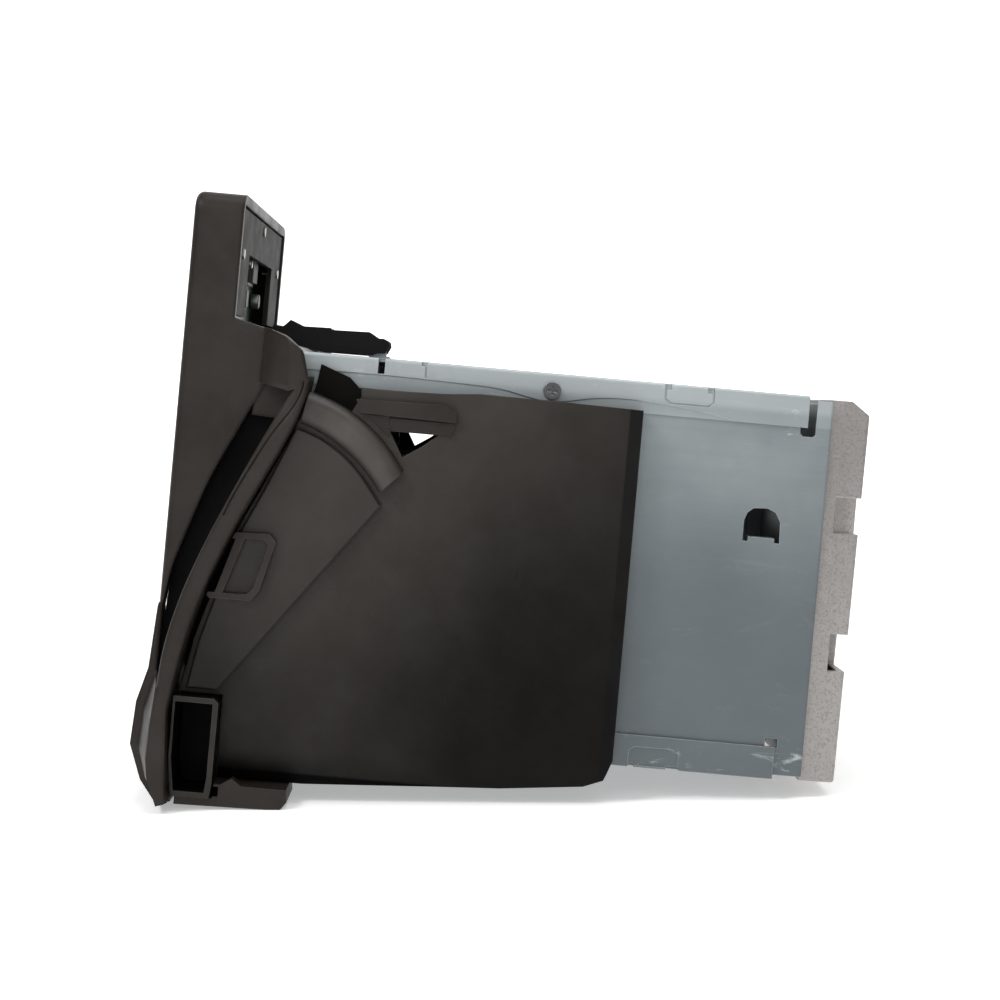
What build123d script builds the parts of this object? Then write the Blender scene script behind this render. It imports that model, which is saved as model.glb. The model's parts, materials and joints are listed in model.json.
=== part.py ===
"""Front-loading bill validator: moulded bezel and side shrouds on a folded steel chassis."""
import os
from math import atan2, cos, pi, sin, tau

from build123d import *

os.makedirs("parts", exist_ok=True)

# Driving dimensions, millimetres. +X runs from the bezel to the rear, +Z is up.
chassis_front = -64.0
cover_front = -68.0
chassis_back = 72.0
chassis_width = 104.0
chassis_height = 100.0
sheet = 1.0
flange_height = 8.3
bezel_width = 112.0
bezel_front = -98.0
bezel_back = -85.0
bezel_top = 139.2
bezel_wall = 2.5
mouth_bottom = 29.5
mouth_top = 105.0
rim_reach = 70.0
shroud_reach = 60.0
shroud_wall = 2.4
path_z = 50.0
path_gap = 5.0
path_width = 84.0
shaft_x = 46.0
drive_z = 38.5
shaft_r = 2.5
running_gap = 0.05
feed_roller_r = 11.0
pinch_roller_r = 6.5
gear_module = 1.0
motor_shaft_r = 1.0
shaft_gear_teeth = 36
pinion_teeth = 12
frame_face = 45.0
frame_sheet = 1.5
mount_spacing_x = 100.0
mount_spacing_y = 88.0
mount_hole_r = 1.7

chassis_length = chassis_back - chassis_front
side_face = chassis_width / 2
flange_face = side_face + sheet
pinch_z = drive_z + feed_roller_r + 0.3 + pinch_roller_r
pulley_r = 7.0
belt_thickness = 1.0
gear_distance = gear_module * (shaft_gear_teeth + pinion_teeth) / 2
motor_x = shaft_x - gear_distance * 0.8
motor_z = drive_z - gear_distance * 0.6
mesh_angle = pi + atan2(0.6, 0.8)


def save(builder, name):
    """Label a finished piece and write it as its own file."""
    builder.part.label = name
    export_step(builder.part, f"parts/{name}.step")


def side_plane(y):
    """The vertical plane across the machine at y, with X to the right and Z up; it faces -Y."""
    return Plane.XZ.offset(-y)


def gear_outline(teeth, module, turn):
    """Corners of a spur gear with straight-flanked teeth, the first tooth centred at the angle turn."""
    pitch_r = teeth * module / 2
    root_r = pitch_r - 1.15 * module
    tip_r = pitch_r + 0.85 * module
    corners = []
    for tooth in range(teeth):
        centre = turn + tau * tooth / teeth
        for radius, half_share in ((root_r, 0.36), (tip_r, 0.13)):
            corners.append((radius, centre - half_share * tau / teeth))
        for radius, half_share in ((tip_r, 0.13), (root_r, 0.36)):
            corners.append((radius, centre + half_share * tau / teeth))
    return [(r * cos(a), r * sin(a)) for r, a in corners]


# ---------------------------------------------------------------- bezel
cheek_edge = [(-75.7, 91.1), (-78.8, 84.1), (-82.7, 75.9), (-88.4, 63.2), (-92.0, 52.3), (-95.0, 42.9),
              (-96.8, 33.0), (-97.4, 14.0)]
rim_front = [(-67.4, 89.6), (-71.8, 81.0), (-78.7, 66.3), (-86.0, 49.3), (-91.9, 31.8), (-94.4, 18.5),
             (-95.2, 5.2), (-95.6, -8.0), (-92.1, -17.6)]
rim_back = [(-63.3, 93.6), (-64.2, 87.6), (-67.1, 79.1), (-74.7, 63.0), (-81.5, 47.6), (-87.3, 30.7),
            (-90.7, 14.0), (-92.0, -6.0), (-89.6, -16.6)]
rim_seam = [(-64.8, 92.4), (-66.3, 86.8), (-70.3, 80.6), (-75.6, 71.1), (-79.4, 63.4), (-82.0, 57.0)]
scoop_front = [(-95.3, 28.0), (-90.0, 37.0), (-83.0, 51.0), (-75.0, 72.0), (-69.2, 92.0), (-68.6, 96.0)]
scoop_wall = 2.5
throat_half = 51.6
scoop_back = [(x + scoop_wall, z - 0.6) for x, z in scoop_front]
mouth_half = 50.0
flare_top = 31.0
chin_top = 15.0
# The chin's front, from its upper facet down round its lip to the underside.
chin_front = [(-101.6, 6.0), (-102.2, -5.0), (-98.8, -14.0), (-94.3, -19.8)]
rim_foot = 53.0
back_room_z = 107.0
# The flared hood: distance from the centre plane, then its front, top and rear corners there.
hood_stations = [(54.5, [(-77.6, 90.7), (-77.2, 105.4), (-72.0, 103.8), (-69.0, 90.7)]),
                 (62.0, [(-75.0, 90.6), (-75.0, 104.8), (-69.8, 103.0), (-66.2, 90.6)]),
                 (rim_reach, [(-68.2, 89.4), (-69.0, 102.6), (-65.2, 99.6), (-63.2, 92.0)])]

with BuildPart() as rim_right:
    with BuildSketch(side_plane(-rim_foot)):
        with BuildLine():
            Spline(*rim_front)
            Line(rim_front[-1], rim_back[-1])
            Spline(*reversed(rim_back))
            Line(rim_back[0], rim_front[0])
        make_face()
    extrude(amount=rim_reach - rim_foot)
    fillet(rim_right.faces().sort_by(Axis.Y)[0].edges().filter_by(lambda e: e.length > 30.0), radius=1.1)

with BuildPart() as hood_right:
    for reach, corners in hood_stations:
        with BuildSketch(side_plane(-reach)):
            Polygon(*corners, align=None)
    loft()
    fillet(hood_right.faces().sort_by(Axis.Y)[0].edges().sort_by(Axis.Z)[-2:], radius=0.9)

with BuildPart() as chin_corner_right:
    with BuildSketch(side_plane(-mouth_half)):
        Polygon((-98.2, chin_top), *chin_front, (-90.6, -19.0), (-92.0, chin_top), align=None)
    with BuildSketch(side_plane(-rim_reach)):
        Polygon((-94.9, 12.0), (-95.6, 2.0), (-95.8, -6.0), (-95.1, -11.0), (-92.3, -17.6), (-90.4, -17.0),
                (-92.0, 8.0), align=None)
    loft(ruled=True)

with BuildPart() as fascia:
    with BuildSketch(side_plane(0)):
        with BuildLine():
            Polyline(cheek_edge[-1], (bezel_front, 14.0), (bezel_front, bezel_top), (bezel_back, bezel_top),
                     (bezel_back, back_room_z), (-77.1, 105.0), cheek_edge[0])
            Spline(*cheek_edge)
        make_face()
    extrude(amount=bezel_width / 2, both=True)
    top_edges = fascia.edges().filter_by(Axis.X).group_by(Axis.Z)[-1]
    fillet(top_edges, radius=5.0)
    fillet(fascia.edges().filter_by(Axis.Y).sort_by(Axis.Z)[-2:].sort_by(Axis.X)[0], radius=2.0)
    with Locations((bezel_back, 0, (back_room_z + bezel_top - bezel_wall) / 2)):
        Box(2 * (bezel_back - bezel_front - bezel_wall), bezel_width - 2 * bezel_wall,
            bezel_top - bezel_wall - back_room_z, mode=Mode.SUBTRACT)
    with Locations((-60.0, 0, mouth_top / 2)):
        Box(2 * 35.5, bezel_width - 2 * bezel_wall, mouth_top, mode=Mode.SUBTRACT)
    with Locations((-90.0, 0, (mouth_bottom + mouth_top) / 2)):
        Box(40.0, 2 * mouth_half, mouth_top - mouth_bottom, mode=Mode.SUBTRACT)
    with Locations((bezel_front, 0, 120.0)):
        Box(20.0, 56.0, 20.0, mode=Mode.SUBTRACT)
    # Flared rims, hoods and chin corners stand out on both sides.
    for side_piece in (rim_right.part, hood_right.part, chin_corner_right.part):
        add(side_piece)
        mirror(side_piece, about=Plane.XZ)
    for side in (1, -1):
        # A shelf closes the top of the slot between the cheek and the rim.
        with BuildSketch(side_plane(-side * rim_foot)):
            Polygon((-78.4, 82.4), (-77.6, 91.2), (-66.8, 91.2), (-70.6, 82.0), align=None)
        extrude(amount=side * 2.6)
        # A parting groove follows the middle of the rim's face.
        with BuildSketch(side_plane(-side * rim_reach)):
            with BuildLine():
                Spline(*rim_seam)
                Line(rim_seam[-1], (rim_seam[-1][0] + 0.5, rim_seam[-1][1] - 0.3))
                Spline(*[(x + 0.5, z - 0.3) for x, z in reversed(rim_seam)])
                Line((rim_seam[0][0] + 0.5, rim_seam[0][1] - 0.3), rim_seam[0])
            make_face()
        extrude(amount=-side * 0.7, mode=Mode.SUBTRACT)
    # A sloping roof closes the mouth back to the chassis.
    with BuildSketch(side_plane(0)):
        Polygon((-95.4, 105.0), (bezel_back, back_room_z), (cover_front - 0.4, 99.8),
                (cover_front - 0.4, 98.4), (bezel_back, 104.6), (-95.4, 104.9), align=None)
    extrude(amount=55.0, both=True)
    # Below the mouth the front flares forward into a chin that runs right across.
    with BuildSketch(side_plane(0)):
        Polygon((-98.0, 32.0), (-98.2, flare_top), (-99.2, chin_top), *chin_front, (-90.6, -19.0),
                (-91.4, -10.0), (-94.0, -10.0), (-97.0, 0.0), (-97.0, 32.0), align=None)
    extrude(amount=bezel_width / 2, both=True)
    with BuildSketch(side_plane(0)):
        Polygon((-97.0, 32.0), (-97.0, mouth_bottom), (-104.0, mouth_bottom), (-104.0, 32.0), align=None)
    extrude(amount=mouth_half, both=True, mode=Mode.SUBTRACT)
save(fascia, "fascia")

with BuildPart() as throat_panel:
    with BuildSketch(side_plane(0)):
        with BuildLine():
            Spline(*scoop_front)
            Line(scoop_front[-1], scoop_back[-1])
            Spline(*reversed(scoop_back))
            Line(scoop_back[0], scoop_front[0])
        make_face()
    extrude(amount=throat_half, both=True)
    # Side walls line the mouth, against the cheeks.
    for side in (1, -1):
        with BuildSketch(side_plane(-side * 50.9)):
            Polygon((-95.3, 104.0), (-95.3, 43.0), (-96.4, 33.0), (-96.9, 16.0), (-87.0, 16.0), (-83.0, 40.0),
                    (-78.0, 55.0), (-72.0, 74.0), (-68.4, 90.6), (-69.4, 96.0), (-85.0, 104.0), align=None)
        extrude(amount=side * 1.9)
    with Locations((-80.0, 0, path_z)):
        Box(24.0, 90.0, 12.0, mode=Mode.SUBTRACT)
save(throat_panel, "throat_panel")

with BuildPart() as light_guide:
    with BuildSketch(Plane.YZ.offset(-84.0)):
        with Locations((0, path_z)):
            Rectangle(89.8, 11.8)
            Rectangle(path_width + 0.6, 6.4, mode=Mode.SUBTRACT)
    extrude(amount=6.0)
save(light_guide, "light_guide")

with BuildPart() as entry_nozzle:
    with BuildSketch(Plane.YZ.offset(-77.0)):
        with Locations((0, path_z)):
            Rectangle(94.0, 16.0)
    extrude(amount=17.0)
    with BuildSketch(Plane.YZ.offset(-77.0)):
        with Locations((0, path_z)):
            Rectangle(path_width + 0.6, 7.0)
    with BuildSketch(Plane.YZ.offset(-60.0)):
        with Locations((0, path_z)):
            Rectangle(path_width, path_gap)
    loft(mode=Mode.SUBTRACT)
    with Locations((-66.0, 0, path_z - 4.0)):
        Box(2.4, 88.0, 20.0, mode=Mode.SUBTRACT)
save(entry_nozzle, "entry_nozzle")

solenoid_x = -53.0
plunger_r = 2.5
with BuildPart() as note_shutter:
    with Locations((-66.0, 0, 38.0)):
        Box(1.6, 87.0, 16.0)
    with Locations(((solenoid_x + 4.0 - 65.2) / 2, 0, 31.5)):
        Box(solenoid_x + 4.0 + 65.2, 10.0, 3.0)
save(note_shutter, "note_shutter")

with BuildPart() as solenoid_plunger:
    with BuildSketch(Plane.XY.offset(8.0)):
        with Locations((solenoid_x, 0)):
            Circle(plunger_r)
    extrude(amount=22.0)
save(solenoid_plunger, "solenoid_plunger")

with BuildPart() as shutter_solenoid:
    with Locations((solenoid_x, 0, 9.0)):
        Box(13.0, 20.0, 16.0)
    fillet(shutter_solenoid.edges().filter_by(Axis.Z), radius=2.0)
    with BuildSketch(Plane.XY.offset(4.0)):
        with Locations((solenoid_x, 0)):
            Circle(plunger_r + running_gap)
    extrude(amount=20.0, mode=Mode.SUBTRACT)
save(shutter_solenoid, "shutter_solenoid")

with BuildPart() as fascia_back_panel:
    with Locations((-86.3, 0, 122.0)):
        Box(1.4, 104.0, 28.0)
    with Locations((-86.3, 0, 116.0)):
        Box(4.0, 60.0, 18.0, mode=Mode.SUBTRACT)
    back_screws = [(-45.0, 124.2), (0.0, 133.7), (45.0, 124.2)]
    with Locations(*[(-86.3, y, z) for y, z in back_screws]):
        Cylinder(1.0, 4.0, rotation=(0, 90, 0), mode=Mode.SUBTRACT)
save(fascia_back_panel, "fascia_back_panel")

with BuildPart() as fascia_screws:
    for y, z in back_screws:
        with BuildSketch(Plane.YZ.offset(-90.0)):
            with Locations((y, z)):
                Circle(0.95)
        extrude(amount=4.4)
        with BuildSketch(Plane.YZ.offset(-85.6)):
            with Locations((y, z)):
                Circle(1.3)
        extrude(amount=0.5)
save(fascia_screws, "fascia_screws")

with BuildPart() as display_window:
    with Locations((-96.8, 0, 120.0)):
        Box(1.6, 55.9, 19.9)
    fillet(display_window.edges().filter_by(Axis.Y).group_by(Axis.X)[0], radius=0.6)
save(display_window, "display_window")

with BuildPart() as indicator_board:
    with Locations((-91.4, 0, 119.5)):
        Box(1.6, 68.0, 23.0)
    with Locations((-91.4, -31.0, 119.5), (-91.4, 31.0, 119.5)):
        Cylinder(1.2, 4.0, rotation=(0, 90, 0), mode=Mode.SUBTRACT)
save(indicator_board, "indicator_board")

with BuildPart() as indicator_lamps:
    for lamp in range(5):
        with Locations((-92.2, -22.0 + 11.0 * lamp, 119.5)):
            Cylinder(2.0, 2.4, rotation=(0, -90, 0), align=(Align.CENTER, Align.CENTER, Align.MIN))
save(indicator_lamps, "indicator_lamps")

# ---------------------------------------------------------------- side shrouds
shroud_seat = flange_face + 0.4
shroud_outline = [(-62.5, 91.0), (-61.6, 97.0), (-53.9, 94.2), (-51.3, 91.6), (-29.8, 92.1), (-20.1, 92.9),
                  (0.5, 92.8), (22.2, 92.4), (22.2, 2.0), (20.2, -3.3), (15.2, -5.4), (-6.0, -7.9),
                  (-23.9, -9.1), (-57.2, -11.6),
                  (-79.0, -11.6), (-79.0, 10.3), (-90.0, 10.3), (-87.6, 24.0), (-84.0, 36.6), (-82.5, 36.6),
                  (-78.5, 50.9), (-79.9, 50.9), (-67.4, 77.5)]
sunk_corner = [(-64.0, 90.0), (-62.5, 98.5), (-56.0, 98.5), (-50.6, 92.4), (-50.3, 89.6), (-52.6, 85.2)]
sunk_depth = 4.0
boss_places = [(-52.0, 76.0), (-56.0, 14.0), (10.0, 14.0), (10.0, 80.0)]
cover_arc = [(-66.2, 80.2), (-58.0, 77.2), (-53.3, 74.1), (-48.8, 69.9), (-44.2, 64.1), (-42.8, 62.2)]
cover_foot = [(-80.5, 11.6), (-88.4, 11.6), (-86.2, 24.0), (-78.8, 51.0), (-72.4, 65.0)]
duct_outer = [(-63.5, 89.7), (-52.7, 85.6), (-37.9, 71.4)]
duct_inner = [(-65.0, 81.4), (-53.2, 75.5), (-43.6, 65.4)]
boss_r = 3.5
pilot_r = 1.25

with BuildPart() as side_shroud_right:
    with BuildSketch(side_plane(-shroud_seat)):
        Polygon(*shroud_outline, align=None)
    extrude(amount=shroud_reach - shroud_seat)
    with BuildSketch(side_plane(-shroud_seat)):
        full_outline = Polygon(*shroud_outline, align=None, mode=Mode.PRIVATE)
        add(offset(full_outline, amount=-shroud_wall, mode=Mode.PRIVATE))
    extrude(amount=shroud_reach - shroud_wall - shroud_seat, mode=Mode.SUBTRACT)
    with BuildSketch(side_plane(-shroud_reach)):
        with BuildLine():
            ThreePointArc(*duct_outer)
            Line(duct_outer[-1], duct_inner[-1])
            ThreePointArc(*reversed(duct_inner))
            Line(duct_inner[0], duct_outer[0])
        make_face()
    extrude(amount=5.0)
    duct_crown = side_shroud_right.faces().sort_by(Axis.Y)[0]
    fillet(duct_crown.edges().filter_by(lambda e: e.length > 10.0), radius=4.0)
    # The rear edge is broken by a broad bevel.
    chamfer(side_shroud_right.edges().filter_by(lambda e: e.center().X > 21.0 and e.length > 80.0)
            .sort_by(Axis.Y)[0], length=3.4, length2=1.6)
    # The lower edge is solid and rolls under the part.
    with BuildSketch(side_plane(-shroud_seat)):
        Polygon(*shroud_outline, align=None)
        with Locations((-30.0, -9.0)):
            Rectangle(140.0, 20.0, mode=Mode.INTERSECT)
    extrude(amount=shroud_reach - shroud_wall - shroud_seat)
    with BuildSketch(Plane.YZ.offset(-95.0)):
        with BuildLine():
            Spline((-shroud_reach, 9.0), (-59.5, 1.0), (-58.0, -5.0), (-54.4, -12.6),
                   tangents=((0, -1), (0.7, -0.7)))
            Polyline((-54.4, -12.6), (-62.0, -12.6), (-62.0, 9.0), (-shroud_reach, 9.0))
        make_face()
    extrude(amount=120.0, mode=Mode.SUBTRACT)
    # Bosses stand on the chassis side and take the screws from inside.
    with BuildSketch(side_plane(-side_face)):
        with Locations(*boss_places):
            Circle(boss_r)
    extrude(amount=shroud_reach - shroud_wall - side_face)
    with BuildSketch(side_plane(-side_face)):
        with Locations(*boss_places):
            Circle(pilot_r)
    extrude(amount=5.0, mode=Mode.SUBTRACT)
    # A wedge-shaped hand hold is open under the trim rail.
    with BuildSketch(side_plane(-shroud_seat)):
        Polygon((-42.3, 81.4), (-29.9, 81.4), (-34.0, 78.0), (-38.6, 75.0), align=None)
    extrude(amount=10.0, mode=Mode.SUBTRACT)
    # The corner behind the rim is solid, and its face is sunk above the duct.
    with BuildSketch(side_plane(-shroud_seat)):
        Polygon(*shroud_outline, align=None)
        with Locations((-58.0, 91.0)):
            Rectangle(18.0, 14.0, mode=Mode.INTERSECT)
    extrude(amount=shroud_reach - sunk_depth - shroud_seat)
    with BuildSketch(side_plane(-shroud_reach + sunk_depth)):
        Polygon(*sunk_corner, align=None)
        with BuildLine():
            ThreePointArc(*duct_outer)
            Polyline(duct_outer[-1], (-60.0, 70.0), duct_outer[0])
        make_face(mode=Mode.SUBTRACT)
    extrude(amount=sunk_depth + 1.0, mode=Mode.SUBTRACT)
save(side_shroud_right, "side_shroud_right")

with BuildPart() as side_shroud_left:
    mirror(side_shroud_right.part, about=Plane.XZ)
save(side_shroud_left, "side_shroud_left")

with BuildPart() as trim_rail_right:
    with BuildSketch(side_plane(-shroud_reach)):
        Polygon((-50.4, 85.4), (-51.4, 88.9), (-29.1, 89.3), (-25.6, 87.8), (-25.4, 84.9), align=None)
    extrude(amount=2.0)
    with BuildSketch(side_plane(-shroud_reach)):
        Polygon((-48.4, 85.2), (-42.6, 85.2), (-42.4, 80.0), align=None)
        Polygon((-42.5, 84.8), (-25.6, 84.8), (-26.4, 81.6), (-42.5, 82.0), align=None)
    extrude(amount=1.0)
with BuildPart() as trim_rails:
    add(trim_rail_right.part)
    mirror(trim_rail_right.part, about=Plane.XZ)
save(trim_rails, "trim_rails")

with BuildPart() as side_cover_right:
    with BuildSketch(side_plane(-shroud_reach)):
        with BuildLine():
            Spline(*cover_arc)
            Polyline(cover_arc[-1], *cover_foot, cover_arc[0])
        make_face()
    extrude(amount=2.4)
    chamfer(side_cover_right.faces().sort_by(Axis.Y)[0].edges(), length=0.5)
with BuildPart() as side_covers:
    add(side_cover_right.part)
    mirror(side_cover_right.part, about=Plane.XZ)
save(side_covers, "side_covers")

loop_outline = [(-79.0, 52.5), (-70.2, 52.7), (-68.4, 50.9), (-71.6, 38.1), (-73.6, 35.3), (-85.2, 35.2),
                (-82.2, 44.0)]
loop_window = [(-76.4, 51.0), (-71.5, 51.1), (-70.4, 49.8), (-73.2, 38.6), (-74.9, 36.9), (-80.9, 36.8)]
loop_slit = [(-90.0, 50.8), (-78.8, 50.8), (-82.9, 36.8), (-90.0, 36.8)]
with BuildPart() as snap_loop_right:
    with BuildSketch(side_plane(-shroud_reach - 2.4)) as loop_sketch:
        Polygon(*loop_outline, align=None)
        fillet(loop_sketch.vertices(), radius=0.9)
        Polygon(*loop_window, align=None, mode=Mode.SUBTRACT)
        Polygon(*loop_slit, align=None, mode=Mode.SUBTRACT)
    extrude(amount=1.8)
with BuildPart() as snap_loops:
    add(snap_loop_right.part)
    mirror(snap_loop_right.part, about=Plane.XZ)
save(snap_loops, "snap_loops")

pocket_outline = [(-90.8, 10.0), (-80.4, 10.0), (-79.2, 9.0), (-79.2, -11.8), (-79.6, -15.4),
                  (-89.4, -15.4), (-90.7, -6.0)]
pocket_wall = 1.4
with BuildPart() as chin_pocket_right:
    with BuildSketch(side_plane(-48.0)):
        Polygon(*pocket_outline, align=None)
    extrude(amount=18.0)
    # The hollow opens to the side; its front wall lies thin against the rim.
    with BuildSketch(side_plane(-50.0)):
        Polygon((-90.2, 10.0 - pocket_wall), (-80.6, 10.0 - pocket_wall), (-80.6, -10.0), (-81.0, -14.0),
                (-88.8, -14.0), (-90.0, -6.0), align=None)
    extrude(amount=20.0, mode=Mode.SUBTRACT)
with BuildPart() as chin_pockets:
    add(chin_pocket_right.part)
    mirror(chin_pocket_right.part, about=Plane.XZ)
save(chin_pockets, "chin_pockets")

with BuildPart() as foot_right:
    with BuildSketch(side_plane(-46.0)):
        Polygon((-79.0, -11.9), (-60.4, -11.9), (-60.0, -15.0), (-61.6, -17.2), (-88.6, -17.8),
                (-88.6, -15.6), (-79.0, -15.6), align=None)
    extrude(amount=18.0)
    with BuildSketch(side_plane(-shroud_reach - 0.2)):
        Polygon((-78.0, -12.4), (-74.4, -10.2), (-71.0, -12.4), align=None)
    extrude(amount=3.8)
    with Locations((-78.4, -60.0, -13.8)):
        Box(1.6, 12.0, 2.6, mode=Mode.SUBTRACT)
    lower_rear = foot_right.edges().filter_by(Axis.Y).filter_by(lambda e: e.center().Z < -16.0)
    fillet(lower_rear.sort_by(Axis.X)[-1], radius=1.4)
with BuildPart() as feet:
    add(foot_right.part)
    mirror(foot_right.part, about=Plane.XZ)
save(feet, "feet")

# ---------------------------------------------------------------- chassis
cover_screw = (-1.5, 95.4)
flange_end = 65.5
floor_end = 64.3
top_slot = (-46.2, 97.9)
flange_step = [(-69.0, 95.3), (-47.5, 95.6), (-25.3, 95.2), (-13.2, 94.4), (-4.7, 92.8), (2.3, 93.0),
               (7.7, 94.1), (26.7, 94.6), (36.4, 93.6), (47.0, 91.6)]
corner_slot = [(65.7, 99.4), (67.8, 99.4), (67.8, 89.9), (67.2, 89.4), (64.6, 89.4), (63.8, 90.2),
               (63.8, 91.9), (65.7, 91.9)]
with BuildPart() as chassis_sides:
    for side in (1, -1):
        with BuildSketch(side_plane(-side * (side_face - sheet))):
            with Locations(((chassis_front + chassis_back - sheet) / 2, chassis_height / 2)):
                Rectangle(chassis_length - sheet, chassis_height - 2 * sheet)
            with Locations(((67.8 + chassis_back) / 2, chassis_height / 2)):
                Rectangle(chassis_back - 67.8, chassis_height - 2 * sheet)
            # The punched opening has a rounded crown and a slit beside each edge of its spring tab.
            Polygon((51.3, 61.0), (51.3, 66.4), (52.0, 68.4), (53.6, 69.7), (57.2, 69.9), (59.4, 68.9),
                    (60.7, 66.6), (60.9, 61.0), (59.6, 61.0), (59.6, 62.2), (52.7, 62.2), (52.7, 61.0),
                    align=None, mode=Mode.SUBTRACT)
            Polygon(*corner_slot, align=None, mode=Mode.SUBTRACT)
            with Locations((63.4, 9.2)):
                Rectangle(3.2, 2.4, mode=Mode.SUBTRACT)
            # A window behind the shroud's hand hold.
            with Locations((-36.2, 78.0)):
                Rectangle(14.6, 9.0, mode=Mode.SUBTRACT)
            with Locations(top_slot):
                Rectangle(1.7, 4.0, mode=Mode.SUBTRACT)
            with Locations(*boss_places):
                Circle(mount_hole_r, mode=Mode.SUBTRACT)
            with Locations(cover_screw):
                Circle(1.5, mode=Mode.SUBTRACT)
        extrude(amount=side * sheet)
    # A cross member ties the two sides together under the note path.
    with Locations((chassis_front + sheet / 2, 0, 10.0)):
        Box(sheet, chassis_width - 2 * sheet, 18.0)
    # Spring tabs stay in the lower part of the punched holes, bent inward.
    for side in (1, -1):
        with Locations((56.1, -side * (side_face - sheet - 1.5), 61.7)):
            Box(6.9, 3.0, sheet)
    rear_bends = chassis_sides.edges().filter_by(Axis.Z).group_by(Axis.X)[-1]
    fillet(rear_bends.group_by(Axis.Y)[0] + rear_bends.group_by(Axis.Y)[-1], radius=0.7)
save(chassis_sides, "chassis_sides")

with BuildPart() as chassis_top_cover:
    with Locations(((flange_end + cover_front) / 2, 0, chassis_height - sheet / 2)):
        Box(flange_end - cover_front, 2 * flange_face, sheet)
    for side in (1, -1):
        with Locations(((flange_end + cover_front) / 2, -side * (flange_face - sheet / 2),
                        chassis_height - flange_height / 2)):
            Box(flange_end - cover_front, sheet, flange_height)
    top_bends = chassis_top_cover.edges().filter_by(Axis.X).group_by(Axis.Z)[-1]
    fillet(top_bends.group_by(Axis.Y)[0] + top_bends.group_by(Axis.Y)[-1], radius=0.9)
    for side in (1, -1):
        with Locations((top_slot[0], -side * flange_face, top_slot[1])):
            Box(1.7, 4.0, 4.0, mode=Mode.SUBTRACT)
        # The flange steps in below a wavy line, and a seam closes the tab beside the slot.
        with BuildSketch(side_plane(-side * flange_face)):
            with BuildLine():
                Spline(*flange_step)
                Polyline(flange_step[-1], (flange_step[-1][0], 90.0), (flange_step[0][0], 90.0),
                         flange_step[0])
            make_face()
            with Locations((-34.6, 98.0)):
                Rectangle(0.35, 4.4)
        extrude(amount=-side * 0.4, mode=Mode.SUBTRACT)
        with Locations((-35.0, -side * flange_face, chassis_height - 0.2)):
            Box(1.5, 4.0, 1.8, mode=Mode.SUBTRACT)
        # A pressed locating tab, relieved by a notch at each end of its bend.
        for x in (28.6, 39.8):
            with Locations((x, -side * flange_face, chassis_height - 0.4)):
                Box(1.7, 4.0, 2.4, mode=Mode.SUBTRACT)
        with BuildSketch(side_plane(-side * flange_face)):
            Polygon((27.8, 98.6), (27.8, 96.0), (29.4, 94.8), (39.4, 94.8), (40.8, 96.0), (40.8, 98.6),
                    (40.4, 98.6), (40.4, 96.2), (39.2, 95.2), (29.6, 95.2), (28.2, 96.2), (28.2, 98.6),
                    align=None)
        extrude(amount=-side * 0.35, mode=Mode.SUBTRACT)
        with BuildSketch(side_plane(-side * (side_face - 0.5))):
            with Locations(cover_screw):
                Circle(1.5)
        extrude(amount=side * 3.0, mode=Mode.SUBTRACT)
save(chassis_top_cover, "chassis_top_cover")

with BuildPart() as chassis_bottom_cover:
    with Locations(((floor_end + chassis_front) / 2, 0, sheet / 2)):
        Box(floor_end - chassis_front, 2 * flange_face, sheet)
    for side in (1, -1):
        with Locations(((floor_end + chassis_front) / 2, -side * (flange_face - sheet / 2),
                        flange_height / 2)):
            Box(floor_end - chassis_front, sheet, flange_height)
        # An oval locating dish is pressed into the flange, open at the bend.
        with BuildSketch(side_plane(-side * flange_face)):
            Polygon((26.6, 0.4), (26.6, 4.2), (28.0, 5.3), (37.6, 5.3), (39.6, 4.2), (39.6, 0.4), align=None)
        extrude(amount=-side * 0.45, mode=Mode.SUBTRACT)
        for x, width in ((27.4, 1.6), (38.2, 3.4)):
            with Locations((x, -side * flange_face, 0.2)):
                Box(width, 4.0, 1.2, mode=Mode.SUBTRACT)
    with GridLocations(mount_spacing_x, mount_spacing_y, 2, 2):
        Hole(radius=mount_hole_r)
save(chassis_bottom_cover, "chassis_bottom_cover")

rear_screw_places = [(y, z) for y in (-41.0, 41.0) for z in (8.0, 88.0)]
rear_screw_seat = chassis_back + 9.0
with BuildPart() as chassis_rear_wall:
    with Locations((chassis_back - sheet / 2, 0, chassis_height / 2)):
        Box(sheet, 2 * (side_face - sheet), chassis_height - 3.0)
    for side in (1, -1):
        with Locations((chassis_back - sheet - 2.0, -side * (side_face - 1.5 * sheet), chassis_height / 2)):
            Box(4.0, sheet, chassis_height - 24.0)
    with Locations((chassis_back, 0, path_z)):
        Box(6.0, path_width + 2.0, 10.0, mode=Mode.SUBTRACT)
    with Locations((chassis_back, 0, 20.0)):
        Box(6.0, 30.0, 12.0, mode=Mode.SUBTRACT)
    with BuildSketch(Plane.YZ.offset(chassis_back - 2.0)):
        with Locations(*rear_screw_places):
            Circle(1.5)
    extrude(amount=4.0, mode=Mode.SUBTRACT)
save(chassis_rear_wall, "chassis_rear_wall")

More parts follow.
